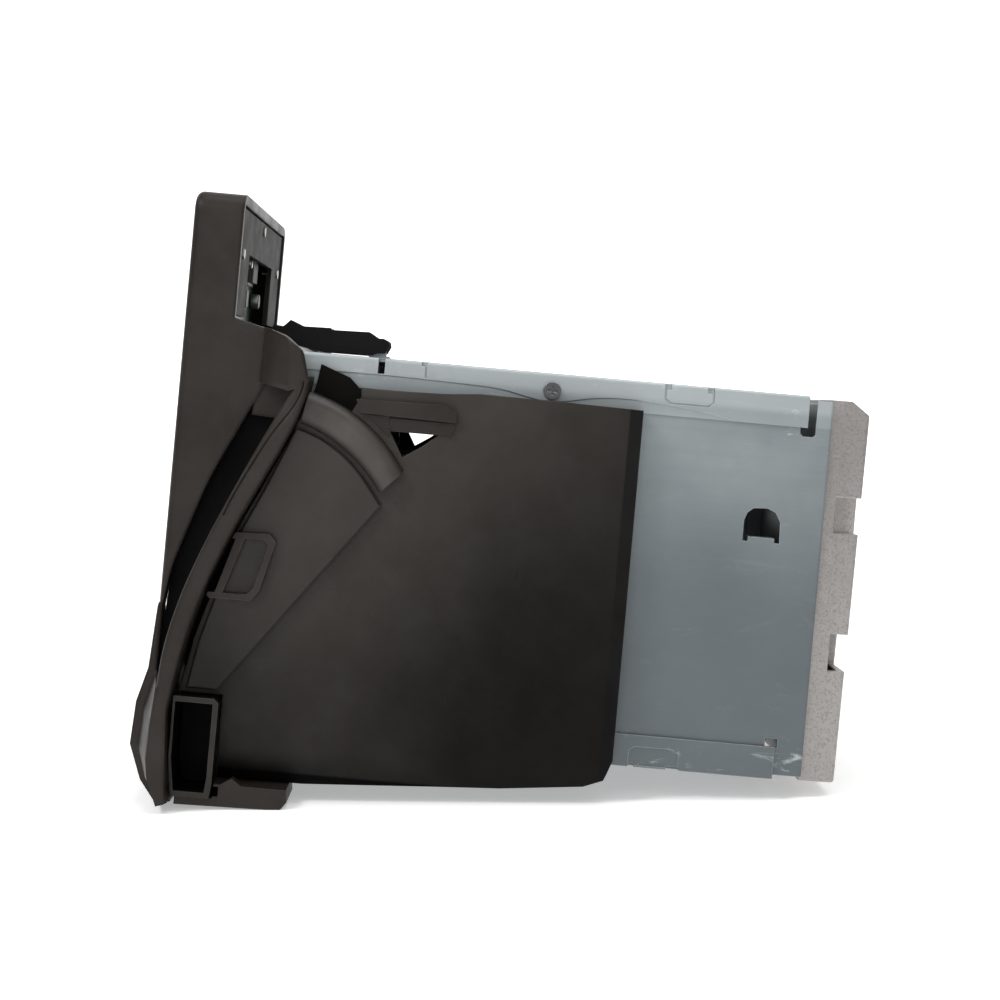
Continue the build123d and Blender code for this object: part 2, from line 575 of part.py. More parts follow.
rear_depth = 10.6
rear_half_width = 48.0
with BuildPart() as rear_cover:
    with BuildSketch(side_plane(0)):
        Polygon((chassis_back, -0.5), (81.6, -0.5), (82.6, 96.1), (77.6, 99.6), (chassis_back, 99.6),
                align=None)
    extrude(amount=rear_half_width, both=True)
    # The side faces draw in towards the rear, and the long rear edges are rounded.
    for side in (1, -1):
        with BuildSketch(Plane.XY.offset(-2.0)):
            Polygon((75.4, side * rear_half_width), (90.0, side * (rear_half_width - 2.0)),
                    (90.0, side * (rear_half_width + 2.0)), (75.4, side * (rear_half_width + 2.0)),
                    align=None)
        extrude(amount=104.0, mode=Mode.SUBTRACT)
    fillet(rear_cover.edges().filter_by(lambda e: e.center().X > 80.0 and e.length > 90.0), radius=1.0)
    with Locations((chassis_back + 3.0, 0, 50.0)):
        Box(10.0, 90.0, 93.0, mode=Mode.SUBTRACT)
    for side in (1, -1):
        # Shallow thumb relief with a rounded floor.
        with BuildSketch(Plane.XY.offset(64.8)):
            with Locations((chassis_back + rear_depth + 1.0, -side * 39.0)):
                Rectangle(5.0, 19.0)
            with Locations((79.6, -side * (rear_half_width + 4.4))):
                Circle(6.2)
        extrude(amount=9.6, mode=Mode.SUBTRACT)
        # Deep cable notch, backed by an inner plate with an oval opening.
        with BuildSketch(Plane.XY.offset(28.6)):
            with Locations((chassis_back + rear_depth - 0.8, -side * 40.0)):
                Rectangle(9.4, 17.0)
        extrude(amount=9.8, mode=Mode.SUBTRACT)
    with BuildSketch(Plane.YZ.offset(chassis_back + 7.0)):
        with Locations((0, path_z)):
            SlotOverall(path_width + 4.0, 8.0)
        with Locations((0, 20.0)):
            Rectangle(28.0, 10.0)
    extrude(amount=6.0, mode=Mode.SUBTRACT)
    for depth, radius in ((chassis_back + 6.0, 1.5), (rear_screw_seat, 2.8)):
        with BuildSketch(Plane.YZ.offset(depth)):
            with Locations(*rear_screw_places):
                Circle(radius)
        extrude(amount=6.0, mode=Mode.SUBTRACT)
save(rear_cover, "rear_cover")

with BuildPart() as rear_inner_plate:
    with Locations((chassis_back + 2.5, 0, 34.0)):
        Box(1.2, 89.4, 16.0)
    with BuildSketch(Plane.YZ.offset(chassis_back)):
        with Locations((36.0, 33.6), (-36.0, 33.6)):
            SlotOverall(9.0, 4.4)
        Rectangle(36.0, 80.0)
    extrude(amount=6.0, mode=Mode.SUBTRACT)
save(rear_inner_plate, "rear_inner_plate")


def pan_screw(plane_y, out, x, z, shank, head_r=2.3, shank_r=1.4):
    """A pan-head screw on a side face: head towards +Y when out is 1, with a cross recess in its crown."""
    head = 1.3
    with BuildPart() as screw:
        with BuildSketch(side_plane(plane_y)):
            with Locations((x, z)):
                Circle(head_r)
        extrude(amount=-out * head)
        with BuildSketch(side_plane(plane_y)):
            with Locations((x, z)):
                Circle(shank_r)
        extrude(amount=out * shank)
        with BuildSketch(side_plane(plane_y + out * head)):
            with Locations((x, z)):
                Rectangle(2.4, 0.6)
                Rectangle(0.6, 2.4)
        extrude(amount=out * head / 2, mode=Mode.SUBTRACT)
    return screw.part


with BuildPart() as cover_screws:
    for out in (1, -1):
        add(pan_screw(out * flange_face, out, cover_screw[0], cover_screw[1], 3.2))
save(cover_screws, "cover_screws")

with BuildPart() as shroud_screws:
    for out in (1, -1):
        for x, z in boss_places:
            add(pan_screw(out * (side_face - sheet), -out, x, z, 5.0, head_r=2.6, shank_r=1.2))
save(shroud_screws, "shroud_screws")

# ---------------------------------------------------------------- release lever on the chassis top
lever_pin_x = -47.5
lever_pin_z = 103.3
lever_pin_r = 1.0
lever_out = -46.0
lever_in = -32.0
lever_middle = (lever_in + lever_out) / 2
lever_cheek = 2.0
with BuildPart() as release_lever:
    with BuildSketch(side_plane(lever_in)):
        Polygon((-76.5, 104.4), (-75.8, 106.4), (-73.2, 106.2), (-71.4, 108.0), (-68.0, 106.6),
                (-60.8, 106.8), (-60.5, 106.3), (-50.4, 106.6), (-47.8, 105.1), (-46.6, 105.2),
                (-45.2, 104.6), (-44.9, 103.4), (-45.8, 101.4), (-48.0, 101.2), (-50.0, 100.5),
                (-63.0, 100.4), (-68.6, 101.3), align=None)
    extrude(amount=lever_in - lever_out)
    # Towards the pin the lever is a fork whose cheeks cover the bracket.
    with Locations((lever_pin_x, lever_middle, lever_pin_z)):
        Box(11.0, lever_in - lever_out - 2 * lever_cheek, 10.0, mode=Mode.SUBTRACT)
    with BuildSketch(side_plane(lever_in - 0.6)):
        with Locations((lever_pin_x, lever_pin_z)):
            Circle(lever_pin_r + running_gap)
    extrude(amount=lever_in - lever_out - 1.2, mode=Mode.SUBTRACT)
save(release_lever, "release_lever")

bracket_ears = (lever_in - lever_cheek - 0.7, lever_out + lever_cheek + 0.7)
with BuildPart() as lever_bracket:
    with Locations((lever_pin_x, lever_middle, chassis_height + 0.3)):
        Box(5.4, bracket_ears[0] - bracket_ears[1] + 1.0, 0.6)
    for y in bracket_ears:
        with BuildSketch(side_plane(y + 0.5)):
            with Locations((lever_pin_x, (chassis_height + 0.6 + lever_pin_z) / 2)):
                Rectangle(3.0, lever_pin_z - chassis_height - 0.6)
            with Locations((lever_pin_x, lever_pin_z)):
                Circle(1.5)
                Circle(lever_pin_r, mode=Mode.SUBTRACT)
        extrude(amount=1.0)
save(lever_bracket, "lever_bracket")

with BuildPart() as lever_pin:
    with BuildSketch(side_plane(lever_in - 0.8)):
        with Locations((lever_pin_x, lever_pin_z)):
            Circle(lever_pin_r)
    extrude(amount=lever_in - lever_out - 1.6)
save(lever_pin, "lever_pin")

with BuildPart() as lever_spring:
    with BuildSketch(side_plane(lever_middle + 3.0)):
        with Locations((lever_pin_x, lever_pin_z)):
            Circle(1.9)
            Circle(lever_pin_r + running_gap, mode=Mode.SUBTRACT)
    extrude(amount=6.0)
save(lever_spring, "lever_spring")

# ---------------------------------------------------------------- note transport
with BuildPart() as transport_sides:
    for side in (1, -1):
        with BuildSketch(side_plane(-side * (frame_face - frame_sheet))):
            Polygon((-59.0, 22.0), (-59.0, 72.0), (46.0, 72.0), (50.4, 66.0), (50.4, 58.0), (59.0, 53.4),
                    (59.0, 22.0), align=None)
            with Locations((-shaft_x, drive_z), (shaft_x, drive_z)):
                Circle(4.5, mode=Mode.SUBTRACT)
            with Locations((-shaft_x, pinch_z), (shaft_x, pinch_z)):
                Circle(2.0, mode=Mode.SUBTRACT)
            if side < 0:
                with Locations((motor_x, motor_z)):
                    Circle(4.2, mode=Mode.SUBTRACT)
        extrude(amount=side * frame_sheet)
        # Feet fold out onto the chassis floor.
        with Locations((0, -side * (frame_face - frame_sheet / 2), 11.5)):
            Box(20.0, frame_sheet, 21.0)
save(transport_sides, "transport_sides")

roller_places = (-24.0, 24.0)
roller_width = 12.0
guide_half = frame_face - frame_sheet
with BuildPart() as lower_guide:
    with Locations((0, 0, path_z - path_gap / 2 - 1.25)):
        Box(118.0, 2 * guide_half, 2.5)
    for x in (-shaft_x, shaft_x):
        with Locations(*[(x, y, path_z - path_gap / 2 - 1.25) for y in roller_places]):
            Box(24.0, roller_width + 2.0, 4.0, mode=Mode.SUBTRACT)
    for rib in range(7):
        with Locations((9.0, -36.0 + 12.0 * rib, path_z - path_gap / 2 - 3.5)):
            Box(42.0, 1.2, 2.0)
    with Locations((-20.0, 0, path_z - 3.75)):
        Box(9.0, 66.0, 2.6, mode=Mode.SUBTRACT)
save(lower_guide, "lower_guide")

upper_sheet = 1.6
upper_z = path_z + path_gap / 2
with BuildPart() as upper_guide:
    with Locations((0, 0, upper_z + upper_sheet / 2)):
        Box(118.0, 2 * guide_half, upper_sheet)
    for x in (-shaft_x, shaft_x):
        with Locations(*[(x, y, upper_z) for y in roller_places]):
            Box(14.0, roller_width + 2.0, 4.0, mode=Mode.SUBTRACT)
    with Locations((-20.0, 0, upper_z)):
        Box(9.0, 66.0, 4.0, mode=Mode.SUBTRACT)
    with Locations((14.0, 0, upper_z)):
        Box(9.0, 20.0, 4.0, mode=Mode.SUBTRACT)
save(upper_guide, "upper_guide")


def across(x, z, radius, low_y, high_y, bore_r=0.0):
    """A round bar, or a ring with a bore, along Y from low_y to high_y."""
    with BuildPart() as bar:
        with BuildSketch(side_plane(high_y)):
            with Locations((x, z)):
                Circle(radius)
                if bore_r:
                    Circle(bore_r, mode=Mode.SUBTRACT)
        extrude(amount=high_y - low_y)
    return bar.part


def feed_roller_pair(x):
    """Two rubber feed rollers on one shaft, each ribbed by shallow grooves."""
    with BuildPart() as rollers:
        for y in roller_places:
            add(across(x, drive_z, feed_roller_r, y - roller_width / 2, y + roller_width / 2, shaft_r))
            for groove in (-3.0, 0.0, 3.0):
                low = y + groove - 0.3
                add(across(x, drive_z, feed_roller_r + 1.0, low, low + 0.6, feed_roller_r - 0.6),
                    mode=Mode.SUBTRACT)
    return rollers.part


with BuildPart() as front_drive_shaft:
    add(across(-shaft_x, drive_z, shaft_r, -50.4, 46.6))
save(front_drive_shaft, "front_drive_shaft")

with BuildPart() as rear_drive_shaft:
    add(across(shaft_x, drive_z, shaft_r, -50.4, 50.4))
save(rear_drive_shaft, "rear_drive_shaft")

with BuildPart() as front_feed_rollers:
    add(feed_roller_pair(-shaft_x))
save(front_feed_rollers, "front_feed_rollers")

with BuildPart() as rear_feed_rollers:
    add(feed_roller_pair(shaft_x))
save(rear_feed_rollers, "rear_feed_rollers")

with BuildPart() as shaft_bushes:
    for x in (-shaft_x, shaft_x):
        for side in (1, -1):
            low = min(side * (frame_face - frame_sheet), side * frame_face)
            add(across(x, drive_z, 4.5, low, low + frame_sheet, shaft_r + running_gap))
            inner = min(side * (frame_face - frame_sheet - 1.0), side * (frame_face - frame_sheet))
            add(across(x, drive_z, 6.0, inner, inner + 1.0, shaft_r + running_gap))
save(shaft_bushes, "shaft_bushes")

for place, x in (("front", -shaft_x), ("rear", shaft_x)):
    with BuildPart() as pinch_shaft:
        add(across(x, pinch_z, 2.0 - running_gap, -46.0, 46.0))
    save(pinch_shaft, f"{place}_pinch_shaft")
    with BuildPart() as pinch_rollers:
        for y in roller_places:
            low = y - roller_width / 2
            add(across(x, pinch_z, pinch_roller_r, low, low + roller_width, 2.0 - running_gap))
    save(pinch_rollers, f"{place}_pinch_rollers")
    with BuildPart() as timing_pulley:
        add(across(x, drive_z, pulley_r, -49.4, -46.0, shaft_r))
        add(across(x, drive_z, pulley_r + 1.6, -50.0, -49.4, shaft_r))
    save(timing_pulley, f"{place}_pulley")

belt_inner_r = pulley_r + running_gap
with BuildPart() as drive_belt:
    with BuildSketch(side_plane(-46.2)):
        with Locations((0, drive_z)):
            SlotCenterToCenter(2 * shaft_x, 2 * (belt_inner_r + belt_thickness))
            SlotCenterToCenter(2 * shaft_x, 2 * belt_inner_r, mode=Mode.SUBTRACT)
    extrude(amount=3.0)
save(drive_belt, "drive_belt")

with BuildPart() as drive_gear:
    with BuildSketch(side_plane(50.0)):
        with Locations((shaft_x, drive_z)):
            Polygon(*gear_outline(shaft_gear_teeth, gear_module, mesh_angle), align=None)
            Circle(shaft_r, mode=Mode.SUBTRACT)
            with PolarLocations(10.5, 5):
                Circle(3.0, mode=Mode.SUBTRACT)
    extrude(amount=4.0)
save(drive_gear, "drive_gear")

with BuildPart() as motor_pinion:
    with BuildSketch(side_plane(50.2)):
        with Locations((motor_x, motor_z)):
            Polygon(*gear_outline(pinion_teeth, gear_module, mesh_angle - pi + pi / pinion_teeth), align=None)
            Circle(motor_shaft_r, mode=Mode.SUBTRACT)
    extrude(amount=4.4)
save(motor_pinion, "motor_pinion")

with BuildPart() as motor_shaft:
    add(across(motor_x, motor_z, motor_shaft_r, 30.0, 50.4))
save(motor_shaft, "motor_shaft")

with BuildPart() as drive_motor:
    add(across(motor_x, motor_z, 10.0, 8.0, frame_face - frame_sheet))
    add(across(motor_x, motor_z, 4.2, frame_face - frame_sheet, frame_face))
    add(across(motor_x, motor_z, motor_shaft_r + running_gap, 29.0, frame_face), mode=Mode.SUBTRACT)
save(drive_motor, "drive_motor")

encoder_y = 34.5
with BuildPart() as encoder_wheel:
    with BuildSketch(side_plane(encoder_y + 0.4)):
        with Locations((-shaft_x, drive_z)):
            Circle(6.2)
            Circle(shaft_r, mode=Mode.SUBTRACT)
            with PolarLocations(4.8, 12):
                Rectangle(1.6, 1.0, mode=Mode.SUBTRACT)
    extrude(amount=0.8)
save(encoder_wheel, "encoder_wheel")

with BuildPart() as encoder_sensor:
    with Locations((-shaft_x, encoder_y, 30.0)):
        Box(7.0, 5.8, 8.0)
    with Locations((-shaft_x, encoder_y, 33.0)):
        Box(8.0, 2.4, 6.0, mode=Mode.SUBTRACT)
    with Locations((-shaft_x, (encoder_y + frame_face - frame_sheet) / 2, 27.0)):
        Box(7.0, frame_face - frame_sheet - encoder_y, 2.0)
save(encoder_sensor, "encoder_sensor")

lower_z = path_z - path_gap / 2
with BuildPart() as sensor_boards:
    with Locations((-20.0, 0, lower_z - 3.0), (-20.0, 0, upper_z + 2.6)):
        Box(8.6, 65.0, 1.0)
save(sensor_boards, "sensor_boards")

with BuildPart() as sensor_windows:
    for z in (lower_z - 1.25, upper_z + 1.05):
        with Locations((-20.0, 0, z)):
            Box(8.8, 65.6, 2.0)
save(sensor_windows, "sensor_windows")

head_x = 14.0
with BuildPart() as magnetic_head:
    with Locations((head_x, 0, upper_z + 4.0)):
        Box(8.6, 19.6, 7.6)
save(magnetic_head, "magnetic_head")

with BuildPart() as head_spring:
    with Locations((head_x, 0, upper_z + 8.0)):
        Box(16.0, 8.0, 0.4)
    for x in (head_x - 7.8, head_x + 7.8):
        with Locations((x, 0, upper_z + (8.2 + upper_sheet) / 2)):
            Box(0.4, 8.0, 8.2 - upper_sheet)
save(head_spring, "head_spring")

board_bottom = 8.0
board_sheet = 1.6
board_x = 12.0
with BuildPart() as main_board:
    with Locations((board_x, 0, board_bottom + board_sheet / 2)):
        Box(104.0, 80.0, board_sheet)
        with GridLocations(96.0, 72.0, 2, 2):
            Hole(radius=1.5)
    for chip_x, chip_y, long, wide, tall in ((-10.0, 10.0, 14.0, 14.0, 1.6), (16.0, -18.0, 20.0, 8.0, 2.0),
                                             (30.0, 20.0, 10.0, 16.0, 3.0), (-18.0, -22.0, 8.0, 8.0, 6.0)):
        with Locations((board_x + chip_x, chip_y, board_bottom + board_sheet + tall / 2)):
            Box(long, wide, tall)
save(main_board, "main_board")

with BuildPart() as board_standoffs:
    for x in (board_x - 48.0, board_x + 48.0):
        for y in (-36.0, 36.0):
            with BuildSketch(Plane.XY.offset(sheet)):
                with Locations((x, y)):
                    Circle(2.6)
            extrude(amount=board_bottom - sheet)
            with BuildSketch(Plane.XY.offset(board_bottom)):
                with Locations((x, y)):
                    Circle(1.45)
            extrude(amount=board_sheet + 1.0)
save(board_standoffs, "board_standoffs")

with BuildPart() as rear_connector:
    with Locations((chassis_back + 1.0, 0, 20.0)):
        Box(17.0, 26.0, 9.0)
    with Locations((chassis_back + 9.0, 0, 20.0)):
        Box(16.0, 23.0, 6.4, mode=Mode.SUBTRACT)
save(rear_connector, "rear_connector")

with BuildPart() as rear_cover_screws:
    for y, z in rear_screw_places:
        with BuildSketch(Plane.YZ.offset(rear_screw_seat)):
            with Locations((y, z)):
                Circle(2.5)
        extrude(amount=1.2)
        with BuildSketch(Plane.YZ.offset(chassis_back - 2.0)):
            with Locations((y, z)):
                Circle(1.35)
        extrude(amount=rear_screw_seat - chassis_back + 2.0)
        with BuildSketch(Plane.YZ.offset(rear_screw_seat + 0.6)):
            with Locations((y, z)):
                Rectangle(2.4, 0.6)
                Rectangle(0.6, 2.4)
        extrude(amount=1.0, mode=Mode.SUBTRACT)
save(rear_cover_screws, "rear_cover_screws")
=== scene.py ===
"""Looks for the bill validator: materials, board parts, studio and camera around the fixed CAD frame."""
import json
import math

import bmesh
import bpy
from mathutils import Euler, Matrix, Vector


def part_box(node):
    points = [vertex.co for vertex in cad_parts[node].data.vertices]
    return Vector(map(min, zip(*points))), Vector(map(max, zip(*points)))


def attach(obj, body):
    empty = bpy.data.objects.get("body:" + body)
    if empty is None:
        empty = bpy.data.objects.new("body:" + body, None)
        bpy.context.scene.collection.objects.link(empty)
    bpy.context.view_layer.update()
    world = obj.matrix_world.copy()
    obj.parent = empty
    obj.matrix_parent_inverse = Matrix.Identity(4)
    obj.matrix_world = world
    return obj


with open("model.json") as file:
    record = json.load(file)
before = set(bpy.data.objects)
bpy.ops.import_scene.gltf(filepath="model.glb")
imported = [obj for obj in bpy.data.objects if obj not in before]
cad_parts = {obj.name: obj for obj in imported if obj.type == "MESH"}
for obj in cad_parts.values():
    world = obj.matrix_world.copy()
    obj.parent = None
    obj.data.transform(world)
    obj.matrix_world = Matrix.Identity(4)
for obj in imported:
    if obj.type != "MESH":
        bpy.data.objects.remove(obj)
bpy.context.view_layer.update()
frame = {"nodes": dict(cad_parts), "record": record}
MM = 0.001


# ------------------------------------------------------------------ node helpers
class Shader:
    """A small wrapper that adds and links nodes of one material."""

    def __init__(self, name):
        self.material = bpy.data.materials.new(name)
        self.material.use_nodes = True
        self.tree = self.material.node_tree
        self.bsdf = self.tree.nodes["Principled BSDF"]
        self.place = self.node("ShaderNodeTexCoord").outputs["Object"]

    def node(self, kind, **settings):
        made = self.tree.nodes.new(kind)
        for key, value in settings.items():
            setattr(made, key, value)
        return made

    def link(self, source, target):
        self.tree.links.new(source, target)

    def feed(self, socket, value):
        """Set a socket to a number or colour, or link it to another node's output."""
        if isinstance(value, bpy.types.NodeSocket):
            self.link(value, socket)
        else:
            socket.default_value = value

    def stretched(self, scale):
        mapping = self.node("ShaderNodeMapping")
        mapping.inputs["Scale"].default_value = scale
        self.link(self.place, mapping.inputs["Vector"])
        return mapping.outputs["Vector"]

    def noise(self, scale, detail=3.0, rough=0.5, vector=None, distortion=0.0):
        made = self.node("ShaderNodeTexNoise")
        made.inputs["Scale"].default_value = scale
        made.inputs["Detail"].default_value = detail
        made.inputs["Roughness"].default_value = rough
        made.inputs["Distortion"].default_value = distortion
        self.link(vector or self.place, made.inputs["Vector"])
        return made.outputs["Fac"]

    def cells(self, scale, vector=None, feature="F1"):
        made = self.node("ShaderNodeTexVoronoi", feature=feature)
        made.inputs["Scale"].default_value = scale
        self.link(vector or self.place, made.inputs["Vector"])
        return made

    def remap(self, value, low, high, new_low=0.0, new_high=1.0):
        made = self.node("ShaderNodeMapRange", interpolation_type="SMOOTHSTEP")
        made.inputs["From Min"].default_value = low
        made.inputs["From Max"].default_value = high
        made.inputs["To Min"].default_value = new_low
        made.inputs["To Max"].default_value = new_high
        self.link(value, made.inputs["Value"])
        return made.outputs["Result"]

    def math(self, operation, first, second=0.0, third=0.0):
        made = self.node("ShaderNodeMath", operation=operation)
        for socket, value in zip(made.inputs, (first, second, third)):
            self.feed(socket, value)
        return made.outputs["Value"]

    def mix(self, share, first, second, blend="MIX"):
        made = self.node("ShaderNodeMix", data_type="RGBA", blend_type=blend)
        self.feed(made.inputs["Factor"], share)
        self.feed(made.inputs["A"], first)
        self.feed(made.inputs["B"], second)
        return made.outputs["Result"]

    def axis(self, name):
        made = self.node("ShaderNodeSeparateXYZ")
        self.link(self.place, made.inputs["Vector"])
        return made.outputs[name]

    def edge_wear(self, radius, low=0.985, high=0.80):
        """1 along convex and concave edges, 0 on flat faces."""
        bevel = self.node("ShaderNodeBevel", samples=6)
        bevel.inputs["Radius"].default_value = radius
        flat = self.node("ShaderNodeNewGeometry")
        product = self.node("ShaderNodeVectorMath", operation="DOT_PRODUCT")
        self.link(bevel.outputs["Normal"], product.inputs[0])
        self.link(flat.outputs["Normal"], product.inputs[1])
        return self.remap(product.outputs["Value"], low, high)

    def bump(self, height, distance, strength=1.0, base=None, bevel=0.0):
        made = self.node("ShaderNodeBump")
        made.inputs["Strength"].default_value = strength
        made.inputs["Distance"].default_value = distance
        self.link(height, made.inputs["Height"])
        if base is not None:
            self.link(base, made.inputs["Normal"])
        elif bevel:
            rounding = self.node("ShaderNodeBevel", samples=6)
            rounding.inputs["Radius"].default_value = bevel
            self.link(rounding.outputs["Normal"], made.inputs["Normal"])
        return made.outputs["Normal"]

    def finish(self, color, roughness, normal=None, metallic=0.0, specular=0.5, **extra):
        self.feed(self.bsdf.inputs["Base Color"], color)
        self.feed(self.bsdf.inputs["Roughness"], roughness)
        self.bsdf.inputs["Metallic"].default_value = metallic
        if not self.bsdf.inputs["Specular IOR Level"].is_linked:
            self.bsdf.inputs["Specular IOR Level"].default_value = specular
        if normal is not None:
            self.link(normal, self.bsdf.inputs["Normal"])
        for key, value in extra.items():
            self.bsdf.inputs[key].default_value = value
        return self.material


def rgb(red, green, blue):
    """An sRGB colour from 0 to 255 as the linear colour that the shader wants."""
    def linear(value):
        value /= 255.0
        return value / 12.92 if value <= 0.04045 else ((value + 0.055) / 1.055) ** 2.4
    return (linear(red), linear(green), linear(blue), 1.0)


# ------------------------------------------------------------------ materials
def moulded_plastic(name, dark, light, roughness=0.42, grain=2600.0, wear=0.35, painted_shade=False, hollow=None,
                    crown=None, soften=0.4 * MM):
    """Spark-eroded ABS: fine grain, cloudy tone, worn edges; optionally painted shade, darker low down and to
    the rear.

    Painted shade fills everything nearer to the centre plane than hollow; crown is the distance of the
    outermost plastic, which gets a painted highlight, with painted shade along the duct's foot; soften is the
    radius that rounds the edges.
    """
    s = Shader(name)
    cloud = s.noise(24.0, 4.0, 0.6)
    if painted_shade:
        # Painted shade: lighter towards the top and the front, darker low down and towards the rear, as the
        # light falls on the shroud.
        upper = s.remap(s.axis("Z"), PAINTED_SHADE_LOW, PAINTED_SHADE_HIGH)
        frontal = s.remap(s.axis("X"), REAR_EDGE, REAR_EDGE - 84.0 * MM)
        painted_light = s.math("ADD", s.math("MULTIPLY", upper, 0.55), s.math("MULTIPLY", frontal, 0.45))
        shade = s.math("ADD", painted_light, s.remap(cloud, 0.3, 0.7, -0.05, 0.05))
        painted_shade_tone = tuple(channel * 0.30 for channel in dark[:3]) + (1.0,)
        color = s.mix(s.remap(shade, 0.10, 0.95), painted_shade_tone, light)
        # Painted shade, near-black, on the rear bevel, which faces away from the light.
        bevel_painted_shade = s.remap(s.axis("X"), REAR_EDGE - 3.8 * MM, REAR_EDGE - 3.2 * MM)
        color = s.mix(s.math("MULTIPLY", bevel_painted_shade, 0.9), color, rgb(13, 12, 12))
        # Painted shade, near-black, lies in the front part of the rolled lower edge, which turns away under
        # the part.
        underside_painted_shade = s.math("MULTIPLY", s.remap(s.axis("Z"), PAINTED_SHADE_LOW, PAINTED_SHADE_LOW - 8.0 * MM),
                       s.remap(s.axis("X"), -10.0 * MM, -60.0 * MM, 0.35, 1.0))
        color = s.mix(s.math("MULTIPLY", underside_painted_shade, 0.9), color, rgb(10, 9, 9))
    else:
        color = s.mix(s.remap(cloud, 0.3, 0.7), dark, light)
    hue = s.noise(11.0, 2.0, 0.5, s.stretched((1.0, 2.3, 0.7)))
    color = s.mix(s.remap(hue, 0.45, 0.75, 0.0, 0.30), color, dark)
    speck = s.cells(900.0).outputs["Distance"]
    color = s.mix(s.remap(speck, 0.05, 0.0, 0.0, 0.08), color, rgb(104, 99, 92))
    edges = s.edge_wear(0.0006)
    patchy = s.math("MULTIPLY", edges, s.remap(s.noise(140.0, 3.0), 0.35, 0.65, 0.3, 1.0))
    color = s.mix(s.math("MULTIPLY", patchy, wear), color, rgb(92, 87, 81))
    dust = s.noise(520.0, 6.0, 0.75)
    color = s.mix(s.remap(dust, 0.66, 0.80, 0.0, 0.22), color, rgb(112, 108, 102))
    sheen = s.remap(s.noise(70.0, 4.0, 0.6), 0.3, 0.7, 0.20, 0.28)
    if painted_shade:
        # The specular level drops where the shade is painted.
        sheen = s.math("MULTIPLY", sheen, s.remap(shade, 0.10, 0.95, 0.35, 1.10))
    if crown:
        outer = s.math("ABSOLUTE", s.axis("Y"))
        # Painted highlight on the duct's crown, patchy along its length.
        crown_painted_highlight = s.math("MULTIPLY", s.remap(outer, crown - 2.6 * MM, crown - 0.4 * MM),
                        s.remap(s.noise(55.0, 5.0, 0.6), 0.3, 0.7, 0.45, 1.0))
        color = s.mix(s.math("MULTIPLY", crown_painted_highlight, 0.42), color, rgb(98, 95, 91))
        # Painted shade on the duct's flanks near its foot.
        foot = s.math("MULTIPLY", s.remap(outer, crown - 4.9 * MM, crown - 4.6 * MM),
                      s.remap(outer, crown - 2.4 * MM, crown - 4.0 * MM))
        color = s.mix(s.math("MULTIPLY", foot, 0.75), color, rgb(18, 17, 16))
    if hollow:
        # Painted shade, near-black, fills the recesses nearer to the centre plane than hollow, and their
        # specular level drops.
        hollow_painted_shade = s.remap(s.math("ABSOLUTE", s.axis("Y")), hollow + 0.4 * MM, hollow)
        color = s.mix(s.math("MULTIPLY", hollow_painted_shade, 0.92), color, rgb(7, 6, 6))
        sheen = s.math("MULTIPLY", sheen, s.math("SUBTRACT", 1.0, s.math("MULTIPLY", hollow_painted_shade, 0.85)))
    fine = s.noise(grain, 2.0, 0.6)
    rough = s.remap(s.noise(60.0, 5.0, 0.65), 0.3, 0.7, roughness - 0.07, roughness + 0.09)
    scuff = s.noise(90.0, 6.0, 0.7, s.stretched((5.0, 1.0, 0.6)))
    rough = s.math("ADD", rough, s.remap(scuff, 0.60, 0.74, 0.0, -0.10))
    normal = s.bump(fine, 0.00006, 0.55, bevel=soften)
    s.link(sheen, s.bsdf.inputs["Specular IOR Level"])
    return s.finish(color, rough, normal)


def black_plastic(name):
    """Black ABS with a light dust in its grain."""
    s = Shader(name)
    cloud = s.noise(60.0, 4.0, 0.6)
    color = s.mix(s.remap(cloud, 0.3, 0.7), rgb(5, 5, 5), rgb(9, 9, 9))
    edges = s.edge_wear(0.0005)
    color = s.mix(s.math("MULTIPLY", edges, 0.22), color, rgb(50, 49, 47))
    dust = s.noise(420.0, 6.0, 0.75)
    color = s.mix(s.remap(dust, 0.62, 0.80, 0.0, 0.26), color, rgb(52, 51, 49))
    normal = s.bump(s.noise(1700.0, 2.0, 0.6), 0.00006, 0.5, bevel=0.0003)
    return s.finish(color, s.remap(cloud, 0.3, 0.7, 0.44, 0.60), normal, specular=0.14)


def matt_black(name):
    """Near-black moulding whose colour is painted shade for the dark inside of the throat: coarse matt texture
    with hardly any sheen.
    """
    s = Shader(name)
    cloud = s.noise(90.0, 4.0, 0.6)
    color = s.mix(s.remap(cloud, 0.3, 0.7), rgb(5, 5, 5), rgb(12, 11, 11))
    return s.finish(color, 0.85, s.bump(s.noise(1400.0, 3.0, 0.7), 0.0001, 0.6), specular=0.12)


